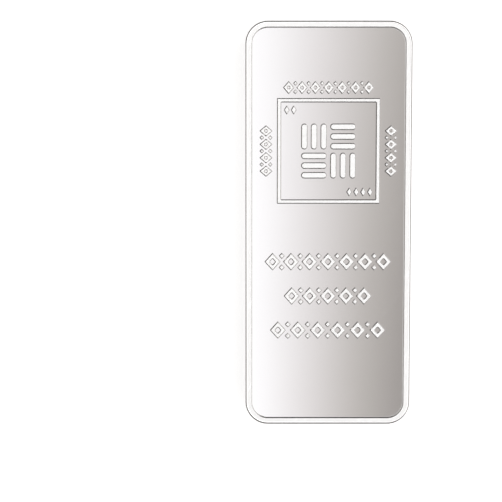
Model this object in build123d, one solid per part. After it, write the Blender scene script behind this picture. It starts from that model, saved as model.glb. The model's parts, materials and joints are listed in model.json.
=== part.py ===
from build123d import *
import math
import os

# A struck aluminium ingot: one solid bar with rounded corners and, on each face, a raised rim around a
# sunk field. The front field carries a nearly square frame with a basket weave in it, and bands of
# lozenges and beads. The back field carries a round medallion. The bar lies on its back, with its front
# up along +Z, its upper end towards +Y and +X to its right. The origin is the middle of its back, in the
# plane of the back rim. Sizes are in millimetres.

# Bar
BAR_WIDTH = 67.0
BAR_LENGTH = 163.5
BAR_THICKNESS = 16.95
CORNER_RADIUS = 9.1
OUTER_EDGE_ROUND = 0.75

# Rim and field, alike on both faces, with how far the rim's inner wall leans, in degrees
RIM_WIDTH = 2.45
FIELD_DEPTH = 0.9
FIELD_DRAFT = 15.0
RIM_EDGE_ROUND = 0.15
FIELD_EDGE_ROUND = 0.2

# Relief: its height over the field, and how far its walls lean, in degrees
RELIEF_HEIGHT = 0.7
WALL_DRAFT = 25.0

# Nearly square frame on the front, placed by the drop from the bar's upper end to its middle
FRAME_WIDTH = 41.6
FRAME_HEIGHT = 42.5
FRAME_LINE = 1.75
FRAME_DROP = 52.05

# Basket weave in the frame: blocks of round-ended strips, lying and standing by turns
WEAVE_STRIP_LENGTH = 10.4
WEAVE_STRIP_WIDTH = 2.6
WEAVE_BLOCK_GAP = 1.3
WEAVE_STRIPS = 3

# Short rows of small marks in two corners of the frame
MARK_HEIGHT = 4.0
MARK_WIDTH = 2.4
MARK_INSET = 1.0
MARK_STEP = 2.8
UPPER_MARKS_LENGTH = 5.2
LOWER_MARKS_LENGTH = 10.8

# Three wide rows under the frame, from the upper one down
UPPER_ROW_LENGTH = 51.6
MIDDLE_ROW_LENGTH = 36.0
LOWER_ROW_LENGTH = 47.2
WIDE_ROW_HEIGHT = 7.3
WIDE_ROW_LINE = 1.65
WIDE_LOZENGE_WIDTH = 6.6
WIDE_BEAD_SIZE = 2.6
WIDE_ROW_STEP = 7.4
UPPER_ROW_DROP = 96.85
ROW_PITCH = 14.0

# One narrow row above the frame and one beside each of its upright sides
NARROW_ROW_HEIGHT = 5.4
NARROW_ROW_LINE = 1.35
NARROW_LOZENGE_WIDTH = 4.6
NARROW_BEAD_SIZE = 2.0
NARROW_ROW_STEP = 5.2
TOP_ROW_LENGTH = 36.8
TOP_ROW_GAP = 1.5
SIDE_ROW_LENGTH = 20.8
SIDE_ROW_GAP = 1.7

# Round medallion in the middle of the back: two rings with a circle of lozenges between them
MEDALLION_DIAMETER = 50.6
MEDALLION_LINE = 1.5
MEDALLION_BORE = 33.0
MEDALLION_LOZENGE_WIDTH = 4.6
MEDALLION_LOZENGE_HEIGHT = 4.8
MEDALLION_BEAD_SIZE = 2.2
MEDALLION_STEP = 8.2


def lozenge(width, height):
    """A solid lozenge, in the plane of the face."""
    half_w = width / 2
    half_h = height / 2
    return Polygon((half_w, 0), (0, half_h), (-half_w, 0), (0, -half_h))


def lozenge_outline(width, height, line):
    """A lozenge with an opening, its line measured square to its sides."""
    side_distance = width * height / 2 / math.hypot(width, height)
    opening_share = 1 - line / side_distance
    return lozenge(width, height) - lozenge(width * opening_share, height * opening_share)


def row_places(length, width, step):
    """Middles of shapes of this width that fill the length from end to end, about a step apart."""
    gaps = max(1, round((length - width) / step))
    spacing = (length - width) / gaps
    return [(width - length) / 2 + spacing * i for i in range(gaps + 1)]


def lozenge_row(length, height, line, width, bead_size, step):
    """Lozenge outlines side by side over the length, with a bead over and under each place where two meet."""
    places = row_places(length, width, step)
    outline = lozenge_outline(width, height, line)
    bead = lozenge(bead_size, bead_size)
    bead_rise = (height - bead_size) / 2
    shapes = [Pos(x, 0) * outline for x in places]
    for left, right in zip(places, places[1:]):
        shapes += [Pos((left + right) / 2, y) * bead for y in (-bead_rise, bead_rise)]
    return shapes


def wide_row(length):
    return lozenge_row(
        length, WIDE_ROW_HEIGHT, WIDE_ROW_LINE, WIDE_LOZENGE_WIDTH, WIDE_BEAD_SIZE, WIDE_ROW_STEP
    )


def narrow_row(length):
    return lozenge_row(
        length, NARROW_ROW_HEIGHT, NARROW_ROW_LINE, NARROW_LOZENGE_WIDTH, NARROW_BEAD_SIZE, NARROW_ROW_STEP
    )


def moved(location, shapes):
    return [location * shape for shape in shapes]


def basket_weave():
    """Four blocks of parallel strips, each block turned square to its neighbours."""
    block_offset = (WEAVE_STRIP_LENGTH + WEAVE_BLOCK_GAP) / 2
    strip_pitch = (WEAVE_STRIP_LENGTH - WEAVE_STRIP_WIDTH) / (WEAVE_STRIPS - 1)
    first = -strip_pitch * (WEAVE_STRIPS - 1) / 2
    strip = SlotOverall(WEAVE_STRIP_LENGTH, WEAVE_STRIP_WIDTH)
    block = [Pos(0, first + strip_pitch * i) * strip for i in range(WEAVE_STRIPS)]
    shapes = []
    for side in (-1, 1):
        shapes += moved(Pos(side * block_offset, side * block_offset), block)
        shapes += moved(Pos(side * block_offset, -side * block_offset) * Rot(0, 0, 90), block)
    return shapes


def mark_row(length):
    """Small solid lozenges side by side over the length."""
    mark = lozenge(MARK_WIDTH, MARK_HEIGHT)
    return [Pos(x, 0) * mark for x in row_places(length, MARK_WIDTH, MARK_STEP)]


def frame_relief():
    """The frame with what is inside it, about the frame's middle."""
    opening_width = FRAME_WIDTH - 2 * FRAME_LINE
    opening_height = FRAME_HEIGHT - 2 * FRAME_LINE
    mark_end = opening_width / 2 - MARK_INSET
    mark_y = opening_height / 2 - MARK_INSET - MARK_HEIGHT / 2
    shapes = [Rectangle(FRAME_WIDTH, FRAME_HEIGHT) - Rectangle(opening_width, opening_height)]
    shapes += moved(Pos(UPPER_MARKS_LENGTH / 2 - mark_end, mark_y), mark_row(UPPER_MARKS_LENGTH))
    shapes += moved(Pos(mark_end - LOWER_MARKS_LENGTH / 2, -mark_y), mark_row(LOWER_MARKS_LENGTH))
    return shapes + basket_weave()


def front_relief():
    """Every raised shape of the front, about the face's middle, with +Y up the face."""
    top = BAR_LENGTH / 2
    frame_y = top - FRAME_DROP
    top_row_y = frame_y + FRAME_HEIGHT / 2 + TOP_ROW_GAP + NARROW_ROW_HEIGHT / 2
    side_row_x = FRAME_WIDTH / 2 + SIDE_ROW_GAP + NARROW_ROW_HEIGHT / 2
    shapes = moved(Pos(0, frame_y), frame_relief())
    shapes += moved(Pos(0, top_row_y), narrow_row(TOP_ROW_LENGTH))
    for side in (-1, 1):
        shapes += moved(Pos(side * side_row_x, frame_y) * Rot(0, 0, 90), narrow_row(SIDE_ROW_LENGTH))
    for i, length in enumerate((UPPER_ROW_LENGTH, MIDDLE_ROW_LENGTH, LOWER_ROW_LENGTH)):
        shapes += moved(Pos(0, top - UPPER_ROW_DROP - ROW_PITCH * i), wide_row(length))
    return shapes


def back_relief():
    """The medallion's rings, lozenges and beads, about the face's middle."""
    outer_radius = MEDALLION_DIAMETER / 2
    bore_radius = MEDALLION_BORE / 2
    band_radius = (outer_radius + bore_radius) / 2
    count = max(3, round(2 * math.pi * band_radius / MEDALLION_STEP))
    drop = Pos(0, band_radius) * lozenge(MEDALLION_LOZENGE_WIDTH, MEDALLION_LOZENGE_HEIGHT)
    bead = Pos(0, band_radius) * lozenge(MEDALLION_BEAD_SIZE, MEDALLION_BEAD_SIZE)
    shapes = [
        Circle(outer_radius) - Circle(outer_radius - MEDALLION_LINE),
        Circle(bore_radius + MEDALLION_LINE) - Circle(bore_radius),
    ]
    for i in range(count):
        shapes.append(Rot(0, 0, 360 * i / count) * drop)
        shapes.append(Rot(0, 0, 360 * (i + 1 / 2) / count) * bead)
    return shapes


def blank():
    """The bar before it is struck: a rounded slab about the origin with its outer edges eased."""
    slab = extrude(RectangleRounded(BAR_WIDTH, BAR_LENGTH, CORNER_RADIUS), BAR_THICKNESS / 2, both=True)
    faces = slab.faces().sort_by(Axis.Z)
    return fillet(faces[0].edges() + faces[-1].edges(), OUTER_EDGE_ROUND)


def sunk_field():
    """What the die presses down inside the rim of the upper face, with leaning walls."""
    width = BAR_WIDTH - 2 * RIM_WIDTH
    length = BAR_LENGTH - 2 * RIM_WIDTH
    outline = RectangleRounded(width, length, CORNER_RADIUS - RIM_WIDTH)
    field = Pos(0, 0, BAR_THICKNESS / 2) * extrude(outline, -FIELD_DEPTH, taper=FIELD_DRAFT)
    return fillet(field.faces().sort_by(Axis.Z)[0].edges(), FIELD_EDGE_ROUND)


def struck(bar, relief):
    """The bar with its upper face struck: the field sunk, the rim's inner edge eased, the relief raised."""
    bar = bar - sunk_field()
    rim = bar.faces().sort_by(Axis.Z)[-1]
    bar = fillet(rim.inner_wires()[0].edges(), RIM_EDGE_ROUND)
    raised = [extrude(shape, RELIEF_HEIGHT, taper=WALL_DRAFT) for shape in relief]
    return bar + moved(Pos(0, 0, BAR_THICKNESS / 2 - FIELD_DEPTH), raised)


def ingot():
    """The bar struck on its back, turned over, struck on its front and laid on its back."""
    bar = struck(blank(), back_relief())
    bar = struck(Rot(0, 180, 0) * bar, front_relief())
    return Pos(0, 0, BAR_THICKNESS / 2) * bar


os.makedirs("parts", exist_ok=True)
bar = ingot()
export_step(bar, "parts/ingot.step")
print("volume in cubic centimetres", bar.volume / 1000, "size", bar.bounding_box().size)
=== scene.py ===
# %% [markdown]
# # A struck aluminium ingot
# The object is one bar of aluminium, pressed between two dies. Each face has a raised rim around a sunk
# field, and low ornament stands on the field. A measured solid of the bar exists already, so we load it
# first: it says how large the bar is and where it lies. Its surface is made for measuring, not for looks.
# So we then model the bar again inside the same box, as one smooth mesh that takes a polish.

# %% Load the measured solid
import json
import math

import bmesh
import bpy
import numpy as np
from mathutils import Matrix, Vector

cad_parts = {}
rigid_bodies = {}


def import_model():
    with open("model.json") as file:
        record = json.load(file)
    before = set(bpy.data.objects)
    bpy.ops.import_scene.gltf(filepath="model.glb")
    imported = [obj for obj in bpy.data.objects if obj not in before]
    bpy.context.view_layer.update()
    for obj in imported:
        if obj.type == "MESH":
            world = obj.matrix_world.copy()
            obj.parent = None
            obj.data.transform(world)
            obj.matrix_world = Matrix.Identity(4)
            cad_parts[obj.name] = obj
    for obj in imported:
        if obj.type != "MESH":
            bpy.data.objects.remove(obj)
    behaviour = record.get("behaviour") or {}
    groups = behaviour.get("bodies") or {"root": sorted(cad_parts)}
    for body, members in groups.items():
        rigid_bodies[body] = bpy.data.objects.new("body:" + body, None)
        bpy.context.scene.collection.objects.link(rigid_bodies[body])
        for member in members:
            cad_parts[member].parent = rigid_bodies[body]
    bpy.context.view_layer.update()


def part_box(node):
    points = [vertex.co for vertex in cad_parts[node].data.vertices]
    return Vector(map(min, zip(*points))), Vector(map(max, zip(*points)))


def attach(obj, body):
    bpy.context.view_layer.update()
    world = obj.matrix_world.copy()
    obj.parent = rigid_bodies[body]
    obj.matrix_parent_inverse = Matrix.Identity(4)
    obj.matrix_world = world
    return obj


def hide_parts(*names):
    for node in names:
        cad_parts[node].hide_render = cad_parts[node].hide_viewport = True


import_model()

MM = 0.001
scene = bpy.context.scene
low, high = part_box("ingot")
bar_width, bar_length, bar_thickness = (top - bottom for bottom, top in zip(low, high))
half_width, half_length = bar_width / 2, bar_length / 2
print("bar", [round(size / MM, 2) for size in (bar_width, bar_length, bar_thickness)], "mm")

# %% [markdown]
# ## Drawing a section
# Cut across, the bar shows the same line all the way round: side, rim, wall, field. Every corner of that
# line is eased, because no die leaves a sharp one. A Bevel modifier could round the edges later, but it
# spaces its loops by the mesh that it finds, and a mirror finish shows every uneven loop. So the rounds are
# drawn in the section itself, by a helper that puts an arc in the corner of a line.


# %% Ease a corner
def eased_corner(before, corner, after, radius, steps):
    """Points of an arc that rounds one corner of a line."""
    before, corner, after = (np.array(p, dtype=float) for p in (before, corner, after))
    into = (corner - before) / np.linalg.norm(corner - before)
    out = (after - corner) / np.linalg.norm(after - corner)
    turn = math.acos(max(-1.0, min(1.0, float(into @ out))))
    reach = radius * math.tan(turn / 2)
    start, end = corner - into * reach, corner + out * reach
    towards = (out - into) / np.linalg.norm(out - into)
    centre = corner + towards * math.hypot(radius, reach)
    points = []
    for i in range(steps + 1):
        share = i / steps
        first = math.sin((1 - share) * turn) / math.sin(turn)
        second = math.sin(share * turn) / math.sin(turn)
        points.append(centre + first * (start - centre) + second * (end - centre))
    return points


print("a square corner, eased:", np.round(eased_corner((0, 0), (1, 0), (1, 1), 0.5, 2), 3).tolist())

# %% [markdown]
# ## Drawing an outline
# Seen from above, the bar, its frame and its lozenges are polygons with rounded corners, and every loop of a
# leaning wall is the same outline a little further in. A scaled copy would be quick, but it makes a rim wider
# along the bar than across it. So this helper moves every side in by the same distance.


# %% Outlines at any distance inside
def rounded_outline(corners, radius, inset, steps):
    """A closed outline, counter-clockwise, drawn inset inside a convex polygon with rounded corners."""
    corners = [np.array(c, dtype=float) for c in corners]
    least_radius = 0.02 * MM
    centre_depth = max(radius, inset + least_radius)
    points = []
    for i, corner in enumerate(corners):
        into = corner - corners[i - 1]
        out = corners[(i + 1) % len(corners)] - corner
        into, out = into / np.linalg.norm(into), out / np.linalg.norm(out)
        normal_in, normal_out = np.array((into[1], -into[0])), np.array((out[1], -out[0]))
        bisector = (normal_in + normal_out) / np.linalg.norm(normal_in + normal_out)
        centre = corner - bisector * centre_depth / float(bisector @ normal_in)
        first = math.atan2(normal_in[1], normal_in[0])
        turn = math.acos(max(-1.0, min(1.0, float(normal_in @ normal_out))))
        for step in range(steps + 1):
            angle = first + turn * step / steps
            points.append(centre + (centre_depth - inset) * np.array((math.cos(angle), math.sin(angle))))
    return points


def box(width, height, radius, steps):
    """An outline of a rounded rectangle, as a function of the inset."""
    x, y = width / 2, height / 2
    corners = [(-x, -y), (x, -y), (x, y), (-x, y)]
    return lambda inset: rounded_outline(corners, radius, inset, steps)


print("outline of a rounded square:", len(box(1, 1, 0.2, 3)(0.1)), "points")

# %% [markdown]
# ## Skinning a stack of outlines
# Outlines that lie over each other are skinned like the frames of a hull, which is called a loft. Blender
# can bridge edge loops by hand, but code that walks round two loops at once is as short, and it can give
# each strip of faces its finish while it is there. The parts go in a collection of their own, a workshop
# that is cleared when the bar is done.

# %% Loft
workshop = bpy.data.collections.new("workshop")
scene.collection.children.link(workshop)


def workshop_object(name, body):
    """Turns a bmesh into an object in the workshop."""
    data = bpy.data.meshes.new(name)
    body.to_mesh(data)
    body.free()
    made = bpy.data.objects.new(name, data)
    workshop.objects.link(made)
    return made


def loft(name, outlines, heights, closed, finishes):
    """Skins a stack of outlines, with a finish for each strip and, unless it closes on itself, each cap."""
    mesh = bmesh.new()
    rings = [[mesh.verts.new((*point, z)) for point in outline] for outline, z in zip(outlines, heights)]
    strips = list(zip(rings, rings[1:])) + ([(rings[-1], rings[0])] if closed else [])
    for (lower, upper), finish in zip(strips, finishes):
        for i in range(len(lower)):
            j = (i + 1) % len(lower)
            mesh.faces.new((lower[i], lower[j], upper[j], upper[i])).material_index = finish
    if not closed:
        for ring, finish in ((rings[0], finishes[-2]), (rings[-1], finishes[-1])):
            mesh.faces.new(ring).material_index = finish
    bmesh.ops.recalc_face_normals(mesh, faces=mesh.faces)
    return workshop_object(name, mesh)


print("parts go in", workshop.name)

# %% [markdown]
# ## Wiring nodes
# The finishes, the ornament and the light are all made of nodes here. They could be wired by hand in an
# editor, but a tree that is built in code can be read and run again. Three helpers keep that code short: one
# links a socket or sets its value, one adds a sum, and one starts a group with named sockets.


# %% Node helpers
def plug(tree, socket, value):
    """Links a socket to another one, or sets its value."""
    if isinstance(value, bpy.types.NodeSocket):
        tree.links.new(value, socket)
    elif value is not None:
        socket.default_value = value


def maths(tree, operation, *values):
    """A sum in nodes, of sockets and plain numbers."""
    node = tree.nodes.new("ShaderNodeMath")
    node.operation = operation
    for socket, value in zip(node.inputs, values):
        plug(tree, socket, value)
    return node.outputs[0]


def node_group(kind, name, inputs, outputs):
    """An empty node group with named sockets, and the sockets inside it that bring in and take out values."""
    group = bpy.data.node_groups.new(name, kind)
    for way, sockets in (("INPUT", inputs), ("OUTPUT", outputs)):
        for socket_name, socket_type in sockets:
            group.interface.new_socket(name=socket_name, in_out=way, socket_type=socket_type)
    return group, group.nodes.new("NodeGroupInput").outputs, group.nodes.new("NodeGroupOutput").inputs


print("helpers", [helper.__name__ for helper in (plug, maths, node_group)])

# %% [markdown]
# ## Grain in the metal
# Struck metal is never quite even. The die leaves its own fine grain, and the metal under it has a broad
# cloudiness. Both could be painted in a picture, but noise nodes give them at any size and without a seam.
# Every finish on the bar uses them, so they are one shader group, with its scales as inputs.


# %% Grain group
def metal_grain_group():
    """Fine grain and broad clouds over Object coordinates, both from 0 to 1."""
    group, ins, outs = node_group("ShaderNodeTree", "metal_grain", [
        ("Grain Scale", "NodeSocketFloat"), ("Cloud Scale", "NodeSocketFloat"),
        ("Stretch", "NodeSocketVector")], [("Grain", "NodeSocketFloat"), ("Cloud", "NodeSocketFloat")])
    stretch = group.nodes.new("ShaderNodeVectorMath")
    stretch.operation = "MULTIPLY"
    plug(group, stretch.inputs[0], group.nodes.new("ShaderNodeTexCoord").outputs["Object"])
    plug(group, stretch.inputs[1], ins["Stretch"])
    for scale, out, detail in (("Grain Scale", "Grain", 3.0), ("Cloud Scale", "Cloud", 2.0)):
        noise = group.nodes.new("ShaderNodeTexNoise")
        noise.inputs["Detail"].default_value = detail
        plug(group, noise.inputs["Vector"], stretch.outputs[0])
        plug(group, noise.inputs["Scale"], ins[scale])
        plug(group, outs[out], noise.outputs["Fac"])
    return group


grain_group = metal_grain_group()
print("node group", grain_group.name, "with", len(grain_group.nodes), "nodes")

# %% [markdown]
# ## Hairlines from handling
# A bar that slides over cloth and shelves gets hairlines that show only close up. They dull a bright field
# and rub a frosted rim brighter. Modelled scratches would cost thousands of faces. Noise that is drawn out in
# one direction and cut off near its peaks gives the same thin lines with a few nodes.

# %% Hairline group
LINE_STRETCH = (1.0, 0.02, 1.0)
PEAK_START = 0.62
PEAK_END = 0.72


def hairline_group():
    """Thin lines in one direction over Object coordinates, from 0 between them to 1 on them."""
    group, ins, outs = node_group("ShaderNodeTree", "hairlines", [
        ("Scale", "NodeSocketFloat"), ("Lean", "NodeSocketFloat")], [("Hairlines", "NodeSocketFloat")])
    lean = group.nodes.new("ShaderNodeVectorRotate")
    lean.rotation_type = "Z_AXIS"
    plug(group, lean.inputs["Vector"], group.nodes.new("ShaderNodeTexCoord").outputs["Object"])
    plug(group, lean.inputs["Angle"], ins["Lean"])
    draw_out = group.nodes.new("ShaderNodeVectorMath")
    draw_out.operation = "MULTIPLY"
    plug(group, draw_out.inputs[0], lean.outputs[0])
    plug(group, draw_out.inputs[1], LINE_STRETCH)
    noise = group.nodes.new("ShaderNodeTexNoise")
    plug(group, noise.inputs["Vector"], draw_out.outputs[0])
    plug(group, noise.inputs["Scale"], ins["Scale"])
    peaks = group.nodes.new("ShaderNodeMapRange")
    plug(group, peaks.inputs["Value"], noise.outputs["Fac"])
    plug(group, peaks.inputs["From Min"], PEAK_START)
    plug(group, peaks.inputs["From Max"], PEAK_END)
    plug(group, outs["Hairlines"], peaks.outputs["Result"])
    return group


hairlines = hairline_group()
print("node group", hairlines.name, "with", len(hairlines.nodes), "nodes")

# %% [markdown]
# ## One recipe for bare metal
# All the finishes are the same aluminium, and differ only in how it was worked. Four trees wired one by one
# would repeat each other, so one function makes them: the clouds shift the colour, the grain sets the gloss
# and, where the metal is rough, a fine bump, and the hairlines change the gloss. Metallic is the same
# everywhere, so it is set on the shader itself.

# %% Bare metal
HAIRLINE_SCALE = 1200.0
HAIRLINE_LEAN = math.radians(35)


def metal(name, light, dark, gloss, grain_scale, cloud_scale, stretch=(1, 1, 1), rub=None, bump_depth=None):
    """A bare metal. Gloss is its least and most roughness, and rub is what a hairline adds to it."""
    material = bpy.data.materials.new(name)
    material.use_nodes = True
    tree = material.node_tree
    shader = tree.nodes["Principled BSDF"].inputs
    shader["Metallic"].default_value = 1.0
    grain = tree.nodes.new("ShaderNodeGroup")
    grain.node_tree = grain_group
    for socket, value in (("Grain Scale", grain_scale), ("Cloud Scale", cloud_scale), ("Stretch", stretch)):
        plug(tree, grain.inputs[socket], value)
    tone = tree.nodes.new("ShaderNodeMix")
    tone.data_type = "RGBA"
    for socket, value in (("Factor", grain.outputs["Cloud"]), ("A", (*light, 1.0)), ("B", (*dark, 1.0))):
        plug(tree, tone.inputs[socket], value)
    plug(tree, shader["Base Color"], tone.outputs["Result"])
    roughness = maths(tree, "MULTIPLY_ADD", grain.outputs["Grain"], gloss[1] - gloss[0], gloss[0])
    if rub:
        lines = tree.nodes.new("ShaderNodeGroup")
        lines.node_tree = hairlines
        plug(tree, lines.inputs["Scale"], HAIRLINE_SCALE)
        plug(tree, lines.inputs["Lean"], HAIRLINE_LEAN)
        roughness = maths(tree, "MULTIPLY_ADD", lines.outputs["Hairlines"], rub, roughness)
    plug(tree, shader["Roughness"], roughness)
    if bump_depth:
        bump = tree.nodes.new("ShaderNodeBump")
        plug(tree, bump.inputs["Distance"], bump_depth)
        plug(tree, bump.inputs["Height"], grain.outputs["Grain"])
        plug(tree, shader["Normal"], bump.outputs["Normal"])
    return material


print("hairlines lean", round(math.degrees(HAIRLINE_LEAN)), "degrees")

# %% [markdown]
# ## Four finishes
# Where the die is polished the metal comes out bright, and it mirrors the room: these are the fields. Where
# the die is blasted the metal comes out frosted, and looks white from every side: these are the rims and the
# tops of the ornament. The sides slide along the die as the bar is pushed out, which leaves them greyer, with
# upright drag lines, and their dark grey is partly painted shade. The steep walls of the relief are satin, a
# little rougher, and painted darker as shade that draws the relief's outlines. One material with painted
# masks could hold all four, but plain ones are easier to read, and each of these finishes ends at an edge.

# %% The finishes
POLISHED, FROSTED, DRAWN_WITH_SHADE, SATIN_WITH_SHADE = 0, 1, 2, 3
metals = [
    metal("polished_aluminium", light=(0.925, 0.92, 0.918), dark=(0.895, 0.89, 0.888), gloss=(0.05, 0.09),
          grain_scale=900, cloud_scale=30, rub=0.015),
    metal("frosted_aluminium", light=(0.968, 0.966, 0.964), dark=(0.938, 0.936, 0.934), gloss=(0.40, 0.56),
          grain_scale=5000, cloud_scale=60, rub=-0.12, bump_depth=0.008 * MM),
    # The drawn finish: its dark grey is partly painted shade, on the sides and over most of each eased edge.
    metal("drawn_aluminium_painted_shade", light=(0.50, 0.482, 0.468), dark=(0.36, 0.346, 0.336), gloss=(0.16, 0.28),
          grain_scale=2500, cloud_scale=200, stretch=(1, 1, 0.03), bump_depth=0.0006 * MM),
    # The satin finish: a little rougher, and its darker colour is painted shade on the relief's walls.
    metal("satin_aluminium_painted_shade", light=(0.78, 0.765, 0.755), dark=(0.68, 0.665, 0.655), gloss=(0.10, 0.18),
          grain_scale=2500, cloud_scale=200),
]
print("finishes", [m.name for m in metals])

# %% [markdown]
# ## The bar's section
# Before it is struck the bar is a plain slab with rounded corners. The die then leaves a flat rim, a leaning
# wall and a sunk field on each face. A cube with insets and bevels would get there too, but here every loop
# has its place: one half of the section runs from the side up over the rim and down into the field. The
# outer edge is eased further in than down, so its arc is drawn round and then pressed flatter.

# %% Half a section
EDGE_ROUND = 0.85 * MM
EDGE_DROP = 0.4 * MM
RIM_WIDTH = 2.45 * MM
FIELD_DEPTH = 0.9 * MM
FIELD_DRAFT = math.radians(15)
RIM_EDGE_ROUND = 0.15 * MM
FIELD_EDGE_ROUND = 0.2 * MM
ROUND_STEPS = 6
field_level = bar_thickness - FIELD_DEPTH


def bar_section():
    """Half of the section as (inset, height) points with the finish of each strip, from side to field."""
    side = (0.0, bar_thickness / 2)
    outer = (0.0, bar_thickness)
    inner = (RIM_WIDTH, bar_thickness)
    foot = (RIM_WIDTH + FIELD_DEPTH * math.tan(FIELD_DRAFT), field_level)
    field = (half_width, field_level)
    edge = eased_corner(side, outer, inner, EDGE_ROUND, ROUND_STEPS)
    flatness = EDGE_DROP / EDGE_ROUND
    edge = [(inset, bar_thickness - (bar_thickness - z) * flatness) for inset, z in edge]
    rim = eased_corner(outer, inner, foot, RIM_EDGE_ROUND, ROUND_STEPS)
    hollow = eased_corner(inner, foot, field, FIELD_EDGE_ROUND, ROUND_STEPS)
    # Most of the eased edge takes the drawn finish, whose dark grey is painted shade for a dark outline.
    bright = ROUND_STEPS // 3
    finishes = [DRAWN_WITH_SHADE] * (ROUND_STEPS - bright) + [POLISHED] * bright + [FROSTED]
    # The rim's wall takes the satin finish, whose darker colour is painted shade.
    finishes += [POLISHED] * ROUND_STEPS + [SATIN_WITH_SHADE] + [POLISHED] * ROUND_STEPS
    return edge + rim + hollow, finishes


print("half a section has", len(bar_section()[0]), "points")

# %% [markdown]
# ## The blank
# The section is mirrored for the back and skinned around the bar's outline. A Mirror modifier could make the
# second half, but one loft over the whole section has no seam to weld. The drawn side goes up over most of
# each eased edge, where its dark grey is painted shade that draws a dark outline round each face, and the
# last third, next to the rim, is polished and bright.

# %% Blank bar
CORNER_RADIUS = 9.1 * MM
CORNER_STEPS = 24


def blank_bar():
    """The bar with its rims and fields, and no ornament yet."""
    front, finishes = bar_section()
    back = [(inset, bar_thickness - z) for inset, z in reversed(front)]
    section = back + front
    outline = box(bar_width, bar_length, CORNER_RADIUS, CORNER_STEPS)
    # The side strip takes the drawn finish, whose dark grey is partly painted shade.
    strips = list(reversed(finishes)) + [DRAWN_WITH_SHADE] + finishes
    caps = [POLISHED, POLISHED]
    return loft("ingot_bar", [outline(inset) for inset, z in section], [z for inset, z in section], False,
                strips + caps)


bar = blank_bar()
print("blank", len(bar.data.polygons), "faces")

# %% [markdown]
# ## Punches
# The ornament stands less than a millimetre over the field, with leaning walls, an eased upper edge and a
# flat top. It could be a bump in the material, but real relief catches the light along its walls and keeps
# doing so from the side. So each shape is a punch of its own, which reaches a little below the field in order
# to join the bar with no gap. A punch with an opening goes up outside and down inside.

# %% Punch walls
RELIEF_HEIGHT = 0.7 * MM
RELIEF_DRAFT = math.radians(25)
RELIEF_ROUND = 0.12 * MM
PUNCH_SINK = 0.1 * MM
PUNCH_ROUND_STEPS = 4


def punch_section():
    """The punch's wall as (inset, height) points over the field, from its foot to its flat top."""
    lean = math.tan(RELIEF_DRAFT)
    foot = (-PUNCH_SINK * lean, -PUNCH_SINK)
    top = (RELIEF_HEIGHT * lean, RELIEF_HEIGHT)
    inside = (top[0] + RELIEF_ROUND, RELIEF_HEIGHT)
    return [np.array(foot)] + eased_corner(foot, top, inside, RELIEF_ROUND, PUNCH_ROUND_STEPS)


def punch(name, outline, opening=None):
    """A raised shape from outline(inset), with an opening if there is one."""
    # Punch walls take the satin finish, whose darker colour is painted shade.
    section = punch_section()
    outlines = [outline(inset) for inset, z in section]
    heights = [z for inset, z in section]
    if opening is None:
        return loft(name, outlines, heights, False, [SATIN_WITH_SHADE] * len(section) + [FROSTED])
    outlines += [opening(-inset) for inset, z in reversed(section)]
    heights += list(reversed(heights))
    return loft(name, outlines, heights, True, [SATIN_WITH_SHADE] * len(outlines))


print("a punch's wall has", len(punch_section()), "loops")

# %% [markdown]
# ## Lozenge punches
# Most of the ornament is lozenges, solid or open. An open one has a line of even width, so its opening is a
# smaller lozenge with the same slopes. A Boolean could cut it out, but would leave uneven faces along the
# line. The corners are eased a little, as an engraver's cutter leaves them.

# %% Lozenges
PUNCH_CORNER = 0.25 * MM
PUNCH_CORNER_STEPS = 4


def lozenge(width, height):
    """A lozenge's outline, as a function of the inset."""
    corners = [(width / 2, 0), (0, height / 2), (-width / 2, 0), (0, -height / 2)]
    return lambda inset: rounded_outline(corners, PUNCH_CORNER, inset, PUNCH_CORNER_STEPS)


def lozenge_punch(name, width, height, line=None):
    """A lozenge, solid or with a line of even width around an opening."""
    if line is None:
        return punch(name, lozenge(width, height))
    opening_share = 1 - line * 2 * math.hypot(width, height) / (width * height)
    return punch(name, lozenge(width, height), lozenge(width * opening_share, height * opening_share))


print("a lozenge has", len(lozenge(1, 1)(0)), "points")

# %% [markdown]
# ## Setting punches with Geometry Nodes
# The ornament is a few shapes that repeat. Copies could be placed in a loop, but then a new length means new
# sums by hand. A Geometry Nodes tree takes the sizes as inputs and works out the rest. Two helpers start a
# tree and make a vector in it.


# %% Trees and vectors
def relief_tree(name, inputs):
    """A Geometry Nodes tree with named inputs and the relief as its output, and its sockets."""
    return node_group("GeometryNodeTree", name, inputs, [("Relief", "NodeSocketGeometry")])


def vector(tree, x=0.0, y=0.0, z=0.0):
    """A vector from sockets and plain numbers."""
    node = tree.nodes.new("ShaderNodeCombineXYZ")
    for socket, value in zip(node.inputs, (x, y, z)):
        plug(tree, socket, value)
    return node.outputs[0]


print("helpers", [helper.__name__ for helper in (relief_tree, vector)])

# %% [markdown]
# ## Copies on points
# A row is a line of points with a copy of a punch on each. An Array modifier could make one straight row, but
# points can also be shifted for the beads or bent round a circle, and each copy can be turned.


# %% Points and copies
def points_on_line(tree, count, start=None, step=None):
    """Points that start somewhere and go on by a step."""
    line = tree.nodes.new("GeometryNodeMeshLine")
    line.mode = "OFFSET"
    for socket, value in (("Count", count), ("Start Location", start), ("Offset", step)):
        plug(tree, line.inputs[socket], value)
    return line.outputs["Mesh"]


def set_on_points(tree, points, shape, rotation=None):
    """A copy of a punch on each point."""
    info = tree.nodes.new("GeometryNodeObjectInfo")
    plug(tree, info.inputs["Object"], shape)
    copies = tree.nodes.new("GeometryNodeInstanceOnPoints")
    for socket, value in (("Points", points), ("Instance", info.outputs["Geometry"]), ("Rotation", rotation)):
        plug(tree, copies.inputs[socket], value)
    return copies.outputs["Instances"]


print("helpers", [helper.__name__ for helper in (points_on_line, set_on_points)])

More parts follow.
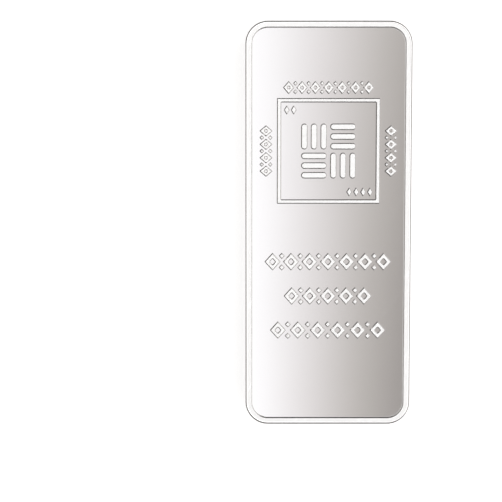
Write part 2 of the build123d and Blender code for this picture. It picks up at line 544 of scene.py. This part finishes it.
# %% [markdown]
# ## How each tree ends
# Every tree ends in the same way. It moves its copies to their place on the face and makes real faces of
# them. Then it gives them their finish: satin walls, painted darker as shade that draws the outlines, and
# frosted tops, which are the faces that look straight up. Each punch could bring its own materials along,
# but one test on the normal serves them all.

# %% Ending a tree
LEVEL = 0.999
PLACING = [("Place", "NodeSocketVector"), ("Turn", "NodeSocketFloat"), ("Walls", "NodeSocketMaterial"),
           ("Tops", "NodeSocketMaterial")]


def finish_tree(tree, parts, ins, outs):
    """Joins the parts, moves them to their place, realizes them and gives walls and tops their finish."""
    join = tree.nodes.new("GeometryNodeJoinGeometry")
    for part in parts:
        plug(tree, join.inputs[0], part)
    move = tree.nodes.new("GeometryNodeTransform")
    plug(tree, move.inputs["Geometry"], join.outputs[0])
    plug(tree, move.inputs["Translation"], ins["Place"])
    plug(tree, move.inputs["Rotation"], vector(tree, z=ins["Turn"]))
    realize = tree.nodes.new("GeometryNodeRealizeInstances")
    plug(tree, realize.inputs[0], move.outputs[0])
    facing = tree.nodes.new("ShaderNodeSeparateXYZ")
    plug(tree, facing.inputs[0], tree.nodes.new("GeometryNodeInputNormal").outputs[0])
    level = maths(tree, "GREATER_THAN", facing.outputs["Z"], LEVEL)
    relief = realize.outputs[0]
    for name, where in (("Walls", None), ("Tops", level)):
        finish = tree.nodes.new("GeometryNodeSetMaterial")
        plug(tree, finish.inputs["Geometry"], relief)
        plug(tree, finish.inputs["Selection"], where)
        plug(tree, finish.inputs["Material"], ins[name])
        relief = finish.outputs[0]
    plug(tree, outs[0], relief)


print("placing inputs", [name for name, kind in PLACING])

# %% [markdown]
# ## A row of punches
# A row fills a given length from end to end. The tree takes about how far apart the punches stand, finds how
# many fit, and spreads them evenly. Over and under each place where two lozenges meet stands a small bead,
# which fills the notch between them.


# %% Row tree
def row_tree():
    """Punches spread evenly over a length, with a bead over and under each place where two meet."""
    tree, ins, outs = relief_tree("row_of_punches", [
        ("Punch", "NodeSocketObject"), ("Bead", "NodeSocketObject"), ("Bead Rise", "NodeSocketFloat"),
        ("Length", "NodeSocketFloat"), ("Width", "NodeSocketFloat"), ("Step", "NodeSocketFloat")] + PLACING)
    span = maths(tree, "SUBTRACT", ins["Length"], ins["Width"])
    gaps = maths(tree, "ROUND", maths(tree, "DIVIDE", span, ins["Step"]))
    spacing = maths(tree, "DIVIDE", span, maths(tree, "MAXIMUM", gaps, 1.0))
    start = maths(tree, "MULTIPLY", span, -0.5)
    bead_start = maths(tree, "MULTIPLY_ADD", spacing, 0.5, start)
    step = vector(tree, x=spacing)
    punches = points_on_line(tree, maths(tree, "ADD", gaps, 1.0), vector(tree, x=start), step)
    parts = [set_on_points(tree, punches, ins["Punch"])]
    for side in (-1.0, 1.0):
        rise = maths(tree, "MULTIPLY", ins["Bead Rise"], side)
        beads = points_on_line(tree, gaps, vector(tree, x=bead_start, y=rise), step)
        parts.append(set_on_points(tree, beads, ins["Bead"]))
    finish_tree(tree, parts, ins, outs)
    return tree


rows = row_tree()
print("tree", rows.name, "with", len(rows.nodes), "nodes")

# %% [markdown]
# ## Running a tree
# A tree runs as a modifier on an empty object. Its inputs are set by the identifier of each socket, because
# a name can occur twice. The evaluated result is then copied to a plain mesh, and the empty object goes.


# %% Run a tree
def run_tree(tree, x, y, turn=0.0, **values):
    """Runs a tree about a point of the face, with its inputs set by name, and gives back its mesh."""
    holder = bpy.data.objects.new("relief", bpy.data.meshes.new("relief"))
    workshop.objects.link(holder)
    modifier = holder.modifiers.new("relief", "NODES")
    modifier.node_group = tree
    # Walls take the satin finish, whose darker colour is painted shade.
    values.update(Place=(x, y, field_level), Turn=turn, Walls=metals[SATIN_WITH_SHADE], Tops=metals[FROSTED])
    identifiers = {s.name: s.identifier for s in tree.interface.items_tree if s.in_out == "INPUT"}
    for name, value in values.items():
        modifier[identifiers[name.replace("_", " ")]] = value
    evaluated = holder.evaluated_get(bpy.context.evaluated_depsgraph_get())
    mesh = bpy.data.meshes.new_from_object(evaluated)
    bpy.data.objects.remove(holder)
    return mesh


def row(shape, length, width, step, x, y, turn=0.0, bead=None, rise=0.0):
    """One row of a punch about a point of the face."""
    return run_tree(rows, x, y, turn, Punch=shape, Bead=bead, Bead_Rise=rise, Length=length, Width=width,
                    Step=step)


def single(shape, x, y):
    """One punch at a point of the face: a row with no room for a second one."""
    return row(shape, bar_width, bar_width, bar_width, x, y)


print("row inputs", [s.name for s in rows.interface.items_tree if s.in_out == "INPUT"])

# %% [markdown]
# ## The frame
# Near the upper end of the front stands a frame, a little taller than it is wide, with a raised line all
# round. Four straight bars would leave four seams at its corners, so it is one punch with an opening.

# %% Frame
FRAME_WIDTH = 41.6 * MM
FRAME_HEIGHT = 42.5 * MM
FRAME_LINE = 1.75 * MM
FRAME_DROP = 52.05 * MM

frame_y = half_length - FRAME_DROP
opening_width, opening_height = FRAME_WIDTH - 2 * FRAME_LINE, FRAME_HEIGHT - 2 * FRAME_LINE
frame_punch = punch("frame_punch", box(FRAME_WIDTH, FRAME_HEIGHT, PUNCH_CORNER, PUNCH_CORNER_STEPS),
                    box(opening_width, opening_height, PUNCH_CORNER, PUNCH_CORNER_STEPS))
front_relief = [single(frame_punch, 0, frame_y)]
print("frame", len(front_relief[0].polygons), "faces, its middle at y", round(frame_y / MM, 2), "mm")

# %% [markdown]
# ## The basket weave
# Inside the frame is a basket weave: four blocks of round-ended strips, each block turned square to its
# neighbours. A block is one row of strips, so the row tree makes it, and a quarter turn makes the next one.

# %% Basket weave
STRIP_LENGTH = 10.4 * MM
STRIP_WIDTH = 2.6 * MM
BLOCK_GAP = 1.3 * MM
STRIPS = 3
STRIP_STEPS = 8
QUARTER_TURN = math.pi / 2

strip_punch = punch("strip_punch", box(STRIP_WIDTH, STRIP_LENGTH, STRIP_WIDTH / 2, STRIP_STEPS))
strip_pitch = (STRIP_LENGTH - STRIP_WIDTH) / (STRIPS - 1)
block = (STRIP_LENGTH + BLOCK_GAP) / 2
for side in (-1, 1):
    for level, turn in ((side, QUARTER_TURN), (-side, 0.0)):
        front_relief.append(row(strip_punch, STRIP_LENGTH, STRIP_WIDTH, strip_pitch, side * block,
                                frame_y + level * block, turn))
print("weave", len(front_relief) - 1, "blocks of", STRIPS, "strips")

# %% [markdown]
# ## Marks in two corners
# Two corners of the frame hold a short row of small solid lozenges, two in the upper left corner and four in
# the lower right one. The row tree does this too, with no bead.

# %% Corner marks
MARK_WIDTH = 2.4 * MM
MARK_HEIGHT = 4.0 * MM
MARK_INSET = 1.0 * MM
MARK_STEP = 2.8 * MM
UPPER_MARKS = 5.2 * MM
LOWER_MARKS = 10.8 * MM

mark_punch = lozenge_punch("mark_punch", MARK_WIDTH, MARK_HEIGHT)
mark_end = opening_width / 2 - MARK_INSET
mark_y = opening_height / 2 - MARK_INSET - MARK_HEIGHT / 2
for length, side in ((UPPER_MARKS, -1), (LOWER_MARKS, 1)):
    marks = row(mark_punch, length, MARK_WIDTH, MARK_STEP, side * (mark_end - length / 2),
                frame_y - side * mark_y)
    front_relief.append(marks)
    print("marks", len(marks.polygons), "faces")

# %% [markdown]
# ## Narrow rows around the frame
# A narrow row of open lozenges and beads stands over the frame, and one beside each of its upright sides,
# turned to run along it. All three are the row tree with the same punches.

# %% Narrow rows
NARROW_WIDTH = 4.6 * MM
NARROW_HEIGHT = 5.4 * MM
NARROW_LINE = 1.35 * MM
NARROW_BEAD = 2.0 * MM
NARROW_STEP = 5.2 * MM
TOP_ROW = 36.8 * MM
TOP_ROW_GAP = 1.5 * MM
SIDE_ROW = 20.8 * MM
SIDE_ROW_GAP = 1.7 * MM

narrow_punch = lozenge_punch("narrow_punch", NARROW_WIDTH, NARROW_HEIGHT, NARROW_LINE)
narrow_bead = lozenge_punch("narrow_bead", NARROW_BEAD, NARROW_BEAD)
above = frame_y + FRAME_HEIGHT / 2 + TOP_ROW_GAP + NARROW_HEIGHT / 2
beside = FRAME_WIDTH / 2 + SIDE_ROW_GAP + NARROW_HEIGHT / 2
for length, x, y, turn in ((TOP_ROW, 0, above, 0.0), (SIDE_ROW, -beside, frame_y, QUARTER_TURN),
                           (SIDE_ROW, beside, frame_y, QUARTER_TURN)):
    front_relief.append(row(narrow_punch, length, NARROW_WIDTH, NARROW_STEP, x, y, turn, narrow_bead,
                            (NARROW_HEIGHT - NARROW_BEAD) / 2))
    print("narrow row", round(length / MM, 1), "mm long,", len(front_relief[-1].polygons), "faces")

# %% [markdown]
# ## Wide rows under the frame
# Three wider rows stand under the frame, each with its own length. Only the length changes, so the tree
# decides how many lozenges each row holds.

# %% Wide rows
WIDE_WIDTH = 6.6 * MM
WIDE_HEIGHT = 7.3 * MM
WIDE_LINE = 1.65 * MM
WIDE_BEAD = 2.6 * MM
WIDE_STEP = 7.4 * MM
WIDE_ROWS = (51.6 * MM, 36.0 * MM, 47.2 * MM)
UPPER_ROW_DROP = 96.85 * MM
ROW_PITCH = 14.0 * MM

wide_punch = lozenge_punch("wide_punch", WIDE_WIDTH, WIDE_HEIGHT, WIDE_LINE)
wide_bead = lozenge_punch("wide_bead", WIDE_BEAD, WIDE_BEAD)
for i, length in enumerate(WIDE_ROWS):
    y = half_length - UPPER_ROW_DROP - ROW_PITCH * i
    front_relief.append(row(wide_punch, length, WIDE_WIDTH, WIDE_STEP, 0, y, bead=wide_bead,
                            rise=(WIDE_HEIGHT - WIDE_BEAD) / 2))
    print("wide row", round(length / MM, 1), "mm long,", len(front_relief[-1].polygons), "faces")

# %% [markdown]
# ## A circle of punches
# The back has a round medallion, with lozenges that point outwards and beads between them. A Curve Circle
# could carry the copies, but turning each copy outwards then needs its tangent. Here the angle of each point
# follows from its index, and the same angle places the copy and turns it.


# %% Circle tree
def circle_tree():
    """Punches spread evenly round a circle, each turned outwards, with a bead halfway between each two."""
    tree, ins, outs = relief_tree("circle_of_punches", [
        ("Punch", "NodeSocketObject"), ("Bead", "NodeSocketObject"), ("Radius", "NodeSocketFloat"),
        ("Step", "NodeSocketFloat")] + PLACING)
    girth = maths(tree, "MULTIPLY", ins["Radius"], 2 * math.pi)
    count = maths(tree, "ROUND", maths(tree, "DIVIDE", girth, ins["Step"]))
    turn = maths(tree, "DIVIDE", 2 * math.pi, count)
    index = tree.nodes.new("GeometryNodeInputIndex").outputs[0]
    parts = []
    for name, offset in (("Punch", 0.0), ("Bead", 0.5)):
        angle = maths(tree, "MULTIPLY", maths(tree, "ADD", index, offset), turn)
        x = maths(tree, "MULTIPLY", maths(tree, "SINE", angle), ins["Radius"])
        y = maths(tree, "MULTIPLY", maths(tree, "COSINE", angle), ins["Radius"])
        spread = tree.nodes.new("GeometryNodeSetPosition")
        plug(tree, spread.inputs["Geometry"], points_on_line(tree, count))
        plug(tree, spread.inputs["Position"], vector(tree, x=x, y=y))
        outwards = vector(tree, z=maths(tree, "MULTIPLY", angle, -1.0))
        parts.append(set_on_points(tree, spread.outputs[0], ins[name], outwards))
    finish_tree(tree, parts, ins, outs)
    return tree


circles = circle_tree()
print("tree", circles.name, "with", len(circles.nodes), "nodes")

# %% [markdown]
# ## The medallion
# Two raised rings hold the circle of lozenges and beads. A ring is a punch like the frame, with circles for
# its outlines. The medallion is made on the level of the front here, and the next step turns it over.

# %% Medallion
MEDALLION_DIAMETER = 50.6 * MM
MEDALLION_BORE = 33.0 * MM
MEDALLION_LINE = 1.5 * MM
DROP_WIDTH = 4.6 * MM
DROP_HEIGHT = 4.8 * MM
DROP_BEAD = 2.2 * MM
DROP_STEP = 8.2 * MM
RING_STEPS = 160


def circle_outline(radius):
    """A circle's outline, as a function of the inset."""
    angles = [2 * math.pi * i / RING_STEPS for i in range(RING_STEPS)]
    return lambda inset: [(radius - inset) * np.array((math.cos(a), math.sin(a))) for a in angles]


back_relief = []
ring_radii = {"outer_ring": MEDALLION_DIAMETER / 2, "inner_ring": MEDALLION_BORE / 2 + MEDALLION_LINE}
for name, radius in ring_radii.items():
    ring_punch = punch(name, circle_outline(radius), circle_outline(radius - MEDALLION_LINE))
    back_relief.append(single(ring_punch, 0, 0))
drop_punch = lozenge_punch("drop_punch", DROP_WIDTH, DROP_HEIGHT)
drop_bead = lozenge_punch("drop_bead", DROP_BEAD, DROP_BEAD)
back_relief.append(run_tree(circles, 0, 0, Punch=drop_punch, Bead=drop_bead, Step=DROP_STEP,
                            Radius=(MEDALLION_DIAMETER + MEDALLION_BORE) / 4))
print("medallion", sum(len(m.polygons) for m in back_relief), "faces")

# %% [markdown]
# ## Gathering the ornament
# Each run gave a mesh with its own list of materials. Before they can join the bar, their faces have to
# count the finishes in the same order as the bar's. The back's meshes are also turned over here, half a turn
# about the bar's length, which keeps their faces outwards, as a mirror would not.


# %% Gather meshes
def gathered(name, meshes, turned_over):
    """One object from several meshes, with the bar's material slots, turned over for the back."""
    body = bmesh.new()
    for mesh in meshes:
        slots = [metals.index(m) if m else SATIN_WITH_SHADE for m in mesh.materials]
        before = len(body.faces)
        body.from_mesh(mesh)
        body.faces.ensure_lookup_table()
        for face in body.faces[before:]:
            face.material_index = slots[face.material_index]
    if turned_over:
        for vert in body.verts:
            vert.co.x, vert.co.z = -vert.co.x, bar_thickness - vert.co.z
    return workshop_object(name, body)


reliefs = [gathered("front_relief", front_relief, False), gathered("back_relief", back_relief, True)]
print("ornament", [(relief.name, len(relief.data.polygons)) for relief in reliefs])

# %% [markdown]
# ## Striking the bar
# On the real bar the ornament and the bar are one metal, so they become one closed mesh. Parts that only
# overlap would look the same from outside, but would print and weigh wrong. A Boolean union joins them, and
# its Manifold solver is quick and leaves no gap.

# %% Strike
for part in [bar] + reliefs:
    for m in metals:
        part.data.materials.append(m)
for relief in reliefs:
    strike = bar.modifiers.new(relief.name, "BOOLEAN")
    strike.operation = "UNION"
    strike.solver = "MANIFOLD"
    strike.object = relief
struck_mesh = bpy.data.meshes.new_from_object(bar.evaluated_get(bpy.context.evaluated_depsgraph_get()))
for spare in list(workshop.objects):
    bpy.data.objects.remove(spare)
bpy.data.collections.remove(workshop)
ingot = bpy.data.objects.new("struck_ingot", struck_mesh)
scene.collection.objects.link(ingot)
print("struck", len(struck_mesh.polygons), "faces")

# %% [markdown]
# ## Normals for a mirror
# A mirror shows a normal that is a degree off. Smooth shading averages the normals around a point, and that
# would bend the light on a flat field next to every round. A Weighted Normal modifier goes some of the way,
# but not far enough for a mirror. So flat faces win here: at each point, the corners take the normal of a
# flat neighbour where there is one, and the average elsewhere.

# %% Flat faces win
SMOOTH_COSINE = math.cos(math.radians(40))
FLAT_SHARE = 0.99999
FLAT_WEIGHT = 1e6


def settle_normals(mesh):
    """Sets the mesh's corner normals, and gives back how many faces are flat."""
    normals = np.array([p.normal for p in mesh.polygons])
    flat = np.abs(normals).max(axis=1) > FLAT_SHARE
    weights = np.where(flat, FLAT_WEIGHT, 1.0)
    around = [[] for _ in mesh.vertices]
    for polygon in mesh.polygons:
        for vert in polygon.vertices:
            around[vert].append(polygon.index)
    corners = []
    for polygon in mesh.polygons:
        own = normals[polygon.index]
        for vert in polygon.vertices:
            near = [f for f in around[vert] if float(normals[f] @ own) > SMOOTH_COSINE]
            total = (normals[near] * weights[near][:, None]).sum(axis=0)
            corners.append(total / np.linalg.norm(total))
    mesh.polygons.foreach_set("use_smooth", [True] * len(mesh.polygons))
    mesh.normals_split_custom_set(corners)
    return int(flat.sum())


print("flat faces", settle_normals(struck_mesh))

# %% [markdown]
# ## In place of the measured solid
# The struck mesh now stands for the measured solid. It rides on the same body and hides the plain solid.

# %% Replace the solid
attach(ingot, "root")
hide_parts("ingot")
print("ingot", [round(size / MM, 2) for size in ingot.dimensions], "mm")

# %% [markdown]
# ## The floor
# The bar lies on a plain white floor. More light would make the floor white, but it would wash out the metal
# too. So the floor glows a little for the rays that come from the camera or by way of a mirror, and as plain
# paint it still takes the bar's shadow. It lies a hair under the bar, because two faces in one plane flicker.

# %% Floor
FLOOR_SIZE = 6.0
FLOOR_GAP = 0.02 * MM
FLOOR_PAINT = 0.9
FLOOR_GLOW = 0.62


def white_floor():
    """White paint that also glows for camera, glossy and transmission rays."""
    material = bpy.data.materials.new("white_floor")
    material.use_nodes = True
    tree = material.node_tree
    tree.nodes.clear()
    paint, glow = tree.nodes.new("ShaderNodeBsdfDiffuse"), tree.nodes.new("ShaderNodeEmission")
    both, out = tree.nodes.new("ShaderNodeAddShader"), tree.nodes.new("ShaderNodeOutputMaterial")
    plug(tree, paint.inputs["Color"], (FLOOR_PAINT, FLOOR_PAINT, FLOOR_PAINT, 1.0))
    rays = tree.nodes.new("ShaderNodeLightPath").outputs
    seen = maths(tree, "MAXIMUM", rays["Is Camera Ray"], rays["Is Glossy Ray"])
    seen = maths(tree, "MAXIMUM", seen, rays["Is Transmission Ray"])
    plug(tree, glow.inputs["Strength"], maths(tree, "MULTIPLY", seen, FLOOR_GLOW))
    plug(tree, both.inputs[0], paint.outputs[0])
    plug(tree, both.inputs[1], glow.outputs[0])
    plug(tree, out.inputs["Surface"], both.outputs[0])
    return material


bpy.ops.mesh.primitive_plane_add(size=FLOOR_SIZE, location=(0, 0, -FLOOR_GAP))
floor = bpy.context.object
floor.name = "floor"
floor.data.materials.append(white_floor())
print("floor", FLOOR_SIZE, "m square")

# %% [markdown]
# ## A room to mirror
# Polished metal shows only what it mirrors, so its light is designed as a room. Lamps with soft boxes could
# build that room, but each leaves an edge in the mirror. Here the world itself is the room, and colour ramps
# draw it. One helper makes a ramp, and the other mixes two colours.

# %% Room helpers
studio = bpy.data.worlds.new("studio")
studio.use_nodes = True
scene.world = studio
room = studio.node_tree


def ramp(value, *stops):
    """A colour ramp. A stop is a place with a grey level or a colour."""
    node = room.nodes.new("ShaderNodeValToRGB")
    elements = node.color_ramp.elements
    while len(elements) < len(stops):
        elements.new(0.5)
    for element, (place, colour) in zip(elements, stops):
        element.position = place
        element.color = (*colour, 1.0) if isinstance(colour, tuple) else (colour, colour, colour, 1.0)
    plug(room, node.inputs[0], value)
    return node.outputs[0]


def blend(factor, a, b, kind="MIX"):
    """Two colours of the room, mixed or multiplied."""
    node = room.nodes.new("ShaderNodeMix")
    node.data_type = "RGBA"
    node.blend_type = kind
    for socket, value in (("Factor", factor), ("A", a), ("B", b)):
        plug(room, node.inputs[socket], value)
    return node.outputs["Result"]


print("world", studio.name, "with helpers", [helper.__name__ for helper in (ramp, blend)])

# %% [markdown]
# ## Directions of the room
# The room is drawn by direction: how far a direction leans across and along the bar, and how far it is from
# straight up. Angles would do as well, but these slopes change evenly over a flat field that mirrors them, so
# an even ramp in the room is an even shade on the bar.

# %% Directions
HORIZON = 0.02

towards = room.nodes.new("ShaderNodeSeparateXYZ")
plug(room, towards.inputs[0], room.nodes.new("ShaderNodeTexCoord").outputs["Generated"])
up = towards.outputs["Z"]
height = maths(room, "MAXIMUM", up, HORIZON)
across = maths(room, "DIVIDE", towards.outputs["X"], height)
along = maths(room, "DIVIDE", towards.outputs["Y"], height)
across_squared = maths(room, "MULTIPLY", across, across)
spread = maths(room, "SQRT", maths(room, "MULTIPLY_ADD", along, along, across_squared))
print("room", len(room.nodes), "nodes")

# %% [markdown]
# ## The ceiling
# Overhead is one wide bright ceiling. It greys towards the right, and a little faster towards the lower end,
# and the field mirrors that as a soft shade across the bar. Further out it is bright again all round, which
# keeps the frosted metal white. On the grey side this starts later, so that the lower right of the field
# stays grey down to its corner.

# %% Ceiling
CEILING = 2.3
SHADE_SLOPE = 0.93
SHADE_TURN = -0.9
TILT_LIMIT = 0.3
PANEL_SCALE = 2.0
PANEL_MIDDLE = 0.4
GREY_DELAY = -0.25
PANEL_STOPS = ((0.2, CEILING), (0.36, 1.2), (0.4, (1.12, 1.115, 1.14)), (0.425, (1.06, 1.047, 1.062)),
               (0.485, (0.845, 0.813, 0.815)), (0.565, (0.562, 0.533, 0.511)),
               (0.605, (0.46, 0.431, 0.412)), (0.66, (0.32, 0.3, 0.288)), (0.8, (0.4, 0.385, 0.375)),
               (0.95, 1.5))

tilt = maths(room, "MAXIMUM", maths(room, "MINIMUM", along, TILT_LIMIT), -TILT_LIMIT)
shade = maths(room, "MULTIPLY", across, maths(room, "MULTIPLY_ADD", tilt, SHADE_TURN, SHADE_SLOPE))
panel = ramp(maths(room, "MULTIPLY_ADD", shade, PANEL_SCALE, PANEL_MIDDLE), *PANEL_STOPS)
outer = ramp(maths(room, "MULTIPLY_ADD", shade, GREY_DELAY, spread), (0.23, 0.0), (0.32, 1.0))
ceiling = blend(outer, panel, (CEILING, CEILING, CEILING, 1.0))
print("ceiling", CEILING, "at its brightest")

# %% [markdown]
# ## Dark cards around it
# Below the ceiling stands a ring of dark cards, as photographers put around polished things. Leaning walls
# and eased edges mirror it as thin dark lines, and without these the relief would be lost in white. The ring
# is darkest above and below the bar. On the left it is lighter and starts higher up, and on the right, where
# the lines fade, it is open. Near the horizon it lightens again, so that the field stays bright when it is
# seen from low down. A heading runs from 0 on the left to 1 on the right.

# %% Dark ring and horizon
ZENITH = 0.01
WHITE = (1.0, 1.0, 1.0, 1.0)
RING_LEAN = 0.2
CARD_STOPS = ((0.0, 0.5), (0.16, (0.45, 0.44, 0.43)), (0.34, (0.27, 0.26, 0.255)),
              (0.42, (0.18, 0.173, 0.168)), (0.5, (0.12, 0.115, 0.112)), (0.58, (0.1, 0.095, 0.092)),
              (0.66, (0.15, 0.143, 0.138)), (0.8, (0.31, 0.3, 0.29)))
OPEN_STOPS = ((0.45, (1.0, 0.99, 0.98)), (0.62, (0.75, 0.74, 0.73)))

flat_spread = maths(room, "MAXIMUM", spread, ZENITH)
heading = maths(room, "MULTIPLY_ADD", maths(room, "DIVIDE", across, flat_spread), 0.5, 0.5)
endways = maths(room, "ABSOLUTE", maths(room, "DIVIDE", along, flat_spread))
at_ends = ramp(endways, (0.9, 1.0), (0.985, 0.45))
on_left = ramp(heading, (0.0, 2.2), (0.3, 1.0))
upper_edge = ramp(up, (0.5, 0.0), (0.62, 1.0))
turned = blend(upper_edge, WHITE, blend(1.0, at_ends, on_left, "MULTIPLY"))
cards = blend(1.0, ramp(up, *CARD_STOPS), turned, "MULTIPLY")
on_right = ramp(heading, (0.72, 0.0), (0.9, 1.0))
cards = blend(on_right, cards, ramp(up, *OPEN_STOPS))
ring_place = maths(room, "ADD", spread, maths(room, "MULTIPLY_ADD", heading, -RING_LEAN, RING_LEAN))
ring = ramp(ring_place, (0.48, 0.0), (0.62, 1.0))
plug(room, room.nodes["Background"].inputs["Color"], blend(ring, ceiling, cards))
print("studio light", len(room.nodes), "nodes")

# %% [markdown]
# ## The camera
# The picture looks straight down on the bar from a little towards its upper left, with a long lens, so that
# the sides hardly show and the outline stays square. The pitch only frames the bar. A shift of the lens could
# do that as well, but it would stay on when the camera goes round to the other sides.

# %% Camera
LENS = 100.0
CAMERA_PLACE = (-31.25 * MM, 36.5 * MM, 580.0 * MM)
CAMERA_PITCH = math.radians(-4.79)

camera = bpy.data.objects.new("camera", bpy.data.cameras.new("camera"))
scene.collection.objects.link(camera)
camera.data.lens = LENS
camera.location = CAMERA_PLACE
camera.rotation_euler = (CAMERA_PITCH, 0, 0)
scene.camera = camera
scene.view_settings.view_transform = "Standard"
print("camera", [round(place / MM, 2) for place in camera.location], "mm")

# %% [markdown]
# ## Done

# %% Done
print("scene built")
